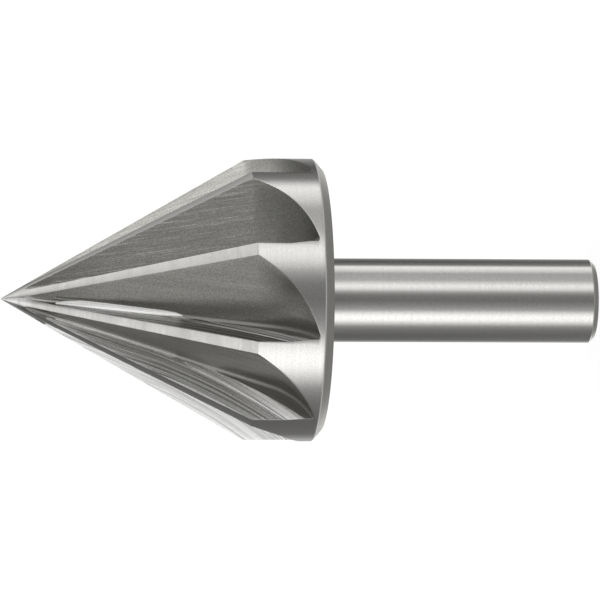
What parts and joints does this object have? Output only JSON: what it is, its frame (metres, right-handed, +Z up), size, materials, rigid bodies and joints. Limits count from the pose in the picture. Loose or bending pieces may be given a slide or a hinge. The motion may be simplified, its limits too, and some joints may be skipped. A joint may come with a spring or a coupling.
{
  "type": "center reamer",
  "caption": "Solid steel cutting cone with straight flutes and a round band behind it, on a plain round shank, for opening or truing a conical centre hole.",
  "frame": {"origin": "centre of the flat end of the shank, which the tool stands on", "axes": "+Z up along the tool's axis, from the shank end to the cutting point; +X through the first tooth"},
  "size_m": [0.0406, 0.0406, 0.0854],
  "materials": {
    "ground_steel": "ground and milled tool steel, satin, with fine grinding lines"
  },
  "bodies": {
    "root": {"center_reamer": "ground_steel"}
  },
  "joints": []
}
